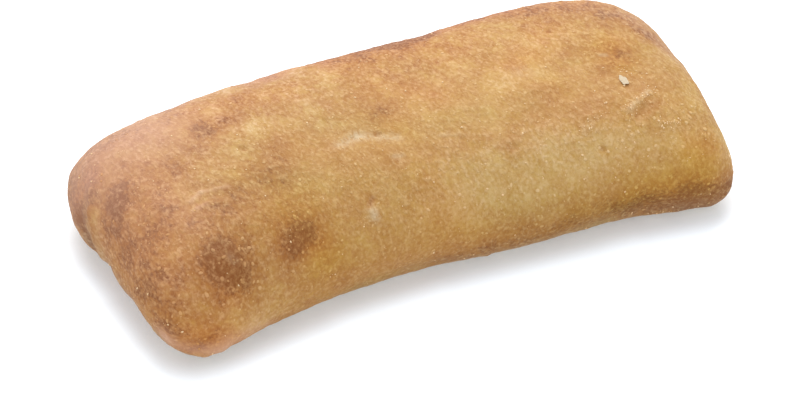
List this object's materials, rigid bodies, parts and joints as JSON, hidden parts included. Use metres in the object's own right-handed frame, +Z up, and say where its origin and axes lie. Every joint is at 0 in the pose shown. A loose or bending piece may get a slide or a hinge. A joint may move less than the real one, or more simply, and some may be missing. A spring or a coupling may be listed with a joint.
{
  "type": "ciabatta",
  "caption": "Whole ciabatta: a low rounded slab of baked bread with a golden, browned crust, a slight bend along its length and a flat base that it rests on.",
  "frame": {"origin": "on the surface that the loaf rests on, under the middle of its outer box", "axes": "+X along the loaf towards its right end as seen in the picture, +Y across it towards the far side, +Z up"},
  "size_m": [0.25, 0.1254, 0.0475],
  "materials": {
    "crust": "golden baked bread crust, matte with a faint sheen, browned blisters, flour specks"
  },
  "bodies": {
    "root": {"loaf": "crust"}
  },
  "joints": []
}
